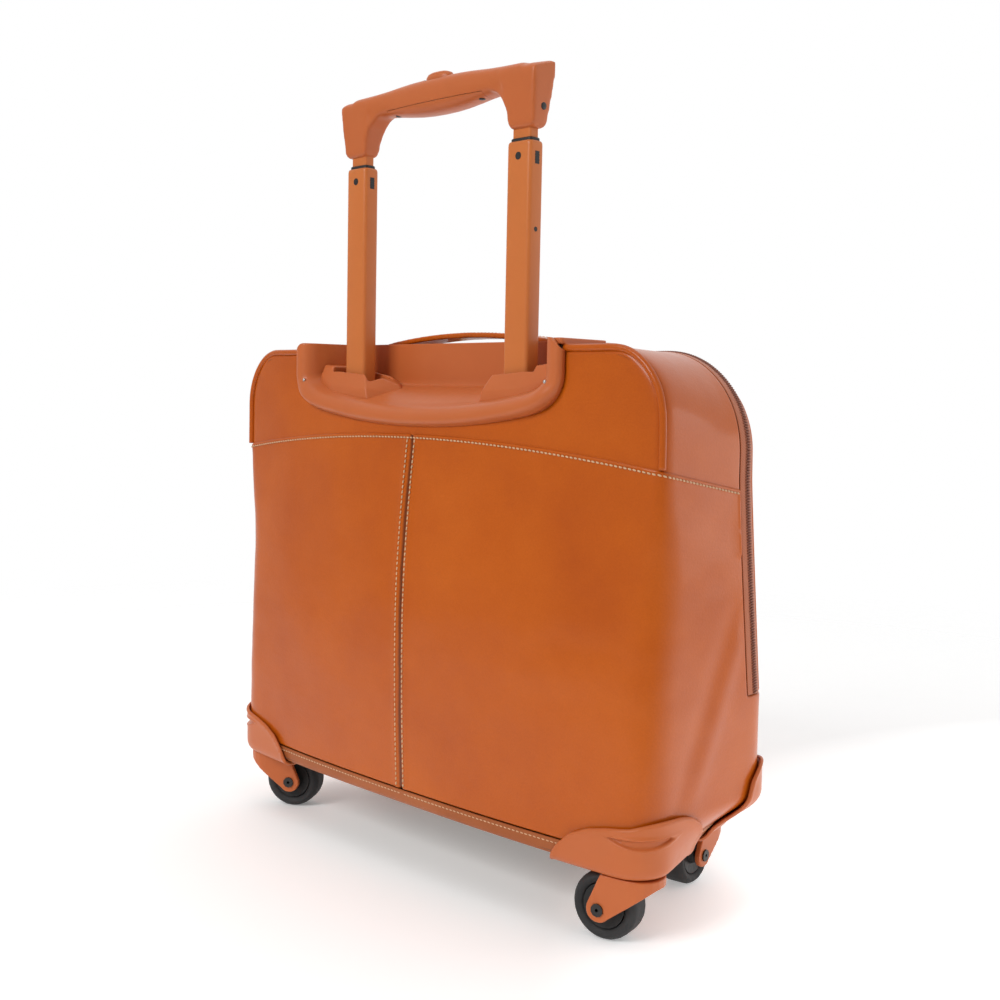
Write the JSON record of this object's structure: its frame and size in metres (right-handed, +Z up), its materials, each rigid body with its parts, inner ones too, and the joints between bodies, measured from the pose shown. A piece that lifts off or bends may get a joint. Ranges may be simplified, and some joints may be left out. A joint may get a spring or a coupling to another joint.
{
  "type": "rolling laptop case",
  "caption": "Leather rolling laptop case with swivel casters, moulded corner guards and a two-stage telescopic handle set in a moulded tray.",
  "frame": {"origin": "on the ground under the middle of the case's outline", "axes": "+Z up, the front lid faces -Y, the telescopic handle is at the back on +Y, +X to the right seen from the front"},
  "size_m": [0.4478, 0.1944, 0.584],
  "materials": {
    "leather": "smooth polished",
    "leather_trim": "smooth",
    "moulded_plastic": "fine satin",
    "tube_paint": "satin lacquer",
    "black_plastic": "satin",
    "tyre": "matte",
    "steel": "brushed",
    "zip_tape": "woven",
    "brass": "satin",
    "board": "matte",
    "lining": "woven"
  },
  "bodies": {
    "case": {"back_panel": "leather", "side_gusset": "leather", "lower_boot": "leather", "bottom_strip": "leather_trim", "base_board": "board", "back_piping_left": "leather_trim", "back_piping_right": "leather_trim", "handle_tray": "moulded_plastic", "tray_bezel_left": "moulded_plastic", "tray_bezel_right": "moulded_plastic", "zip_tape_body": "zip_tape", "handle_housing_left": "steel", "handle_housing_right": "steel", "housing_foot": "steel", "laptop_sleeve": "lining", "carry_handle": "leather", "corner_guard_back_left": "moulded_plastic", "corner_guard_back_right": "moulded_plastic", "corner_guard_front_left": "moulded_plastic", "corner_guard_front_right": "moulded_plastic"},
    "lid": {"front_lid": "leather", "zip_tape_lid": "zip_tape", "front_pocket": "leather", "pocket_zip": "zip_tape"},
    "zip_slider": {"zip_slider": "brass"},
    "zip_pull": {"zip_pull": "brass"},
    "pocket_slider": {"pocket_slider": "brass"},
    "stage1": {"stage1_tube_left": "tube_paint", "stage1_collar_left": "black_plastic", "stage1_shoe_left": "black_plastic", "stage1_tube_right": "tube_paint", "stage1_collar_right": "black_plastic", "stage1_shoe_right": "black_plastic"},
    "grip": {"stage2_tube_left": "tube_paint", "stage2_shoe_left": "black_plastic", "stage2_tube_right": "tube_paint", "stage2_shoe_right": "black_plastic", "grip_upper_shell": "moulded_plastic", "grip_lower_cover": "moulded_plastic", "button_spring": "steel"},
    "release": {"grip_button": "moulded_plastic", "push_rod_left": "steel", "push_rod_right": "steel"},
    "caster_back_left": {"caster_fork_back_left": "moulded_plastic", "caster_axle_back_left": "steel"},
    "wheel_back_left": {"caster_tyre_back_left": "tyre", "caster_hub_back_left": "black_plastic"},
    "caster_back_right": {"caster_fork_back_right": "moulded_plastic", "caster_axle_back_right": "steel"},
    "wheel_back_right": {"caster_tyre_back_right": "tyre", "caster_hub_back_right": "black_plastic"},
    "caster_front_left": {"caster_fork_front_left": "moulded_plastic", "caster_axle_front_left": "steel"},
    "wheel_front_left": {"caster_tyre_front_left": "tyre", "caster_hub_front_left": "black_plastic"},
    "caster_front_right": {"caster_fork_front_right": "moulded_plastic", "caster_axle_front_right": "steel"},
    "wheel_front_right": {"caster_tyre_front_right": "tyre", "caster_hub_front_right": "black_plastic"}
  },
  "joints": [
    {"name": "stage1_slide", "type": "slide", "parent": "case", "child": "stage1", "axis": [0, 0, 1], "range_m": [-0.193, 0]},
    {"name": "grip_slide", "type": "slide", "parent": "stage1", "child": "grip", "axis": [0, 0, 1], "range_m": [0, 0.195]},
    {"name": "button_press", "type": "slide", "parent": "grip", "child": "release", "axis": [0, 0, -1], "range_m": [0, 0.004], "stiffness_N_per_m": 500, "springref_m": -0.004, "deforming": ["button_spring"]},
    {"name": "lid_hinge", "type": "hinge", "parent": "case", "child": "lid", "pos_m": [0, -0.08275, 0.1533], "axis": [1, 0, 0], "range_deg": [0, 90]},
    {"name": "zip_slide", "type": "slide", "parent": "lid", "child": "zip_slider", "axis": [1, 0, 0], "range_m": [-0.19, 0.07]},
    {"name": "pull_swing", "type": "hinge", "parent": "zip_slider", "child": "zip_pull", "pos_m": [0.06, -0.01485, 0.391], "axis": [0, -1, 0], "range_deg": [0, 180]},
    {"name": "pocket_zip_slide", "type": "slide", "parent": "lid", "child": "pocket_slider", "axis": [1, 0, 0], "range_m": [-0.02, 0.22]},
    {"name": "swivel_back_left", "type": "hinge", "parent": "case", "child": "caster_back_left", "pos_m": [-0.2, 0.06315, 0.046], "axis": [0, 0, 1], "continuous": true},
    {"name": "spin_back_left", "type": "hinge", "parent": "caster_back_left", "child": "wheel_back_left", "pos_m": [-0.17946, 0.06752, 0.023], "axis": [-0.2079, 0.9781, 0], "continuous": true},
    {"name": "swivel_back_right", "type": "hinge", "parent": "case", "child": "caster_back_right", "pos_m": [0.2, 0.06315, 0.046], "axis": [0, 0, 1], "continuous": true},
    {"name": "spin_back_right", "type": "hinge", "parent": "caster_back_right", "child": "wheel_back_right", "pos_m": [0.18219, 0.05202, 0.023], "axis": [0.5299, -0.848, 0], "continuous": true},
    {"name": "swivel_front_left", "type": "hinge", "parent": "case", "child": "caster_front_left", "pos_m": [-0.151, -0.06885, 0.046], "axis": [0, 0, 1], "continuous": true},
    {"name": "spin_front_left", "type": "hinge", "parent": "caster_front_left", "child": "wheel_front_left", "pos_m": [-0.15392, -0.04805, 0.023], "axis": [-0.9903, -0.1392, 0], "continuous": true},
    {"name": "swivel_front_right", "type": "hinge", "parent": "case", "child": "caster_front_right", "pos_m": [0.151, -0.06885, 0.046], "axis": [0, 0, 1], "continuous": true},
    {"name": "spin_front_right", "type": "hinge", "parent": "caster_front_right", "child": "wheel_front_right", "pos_m": [0.15643, -0.04857, 0.023], "axis": [-0.9659, 0.2588, 0], "continuous": true}
  ]
}
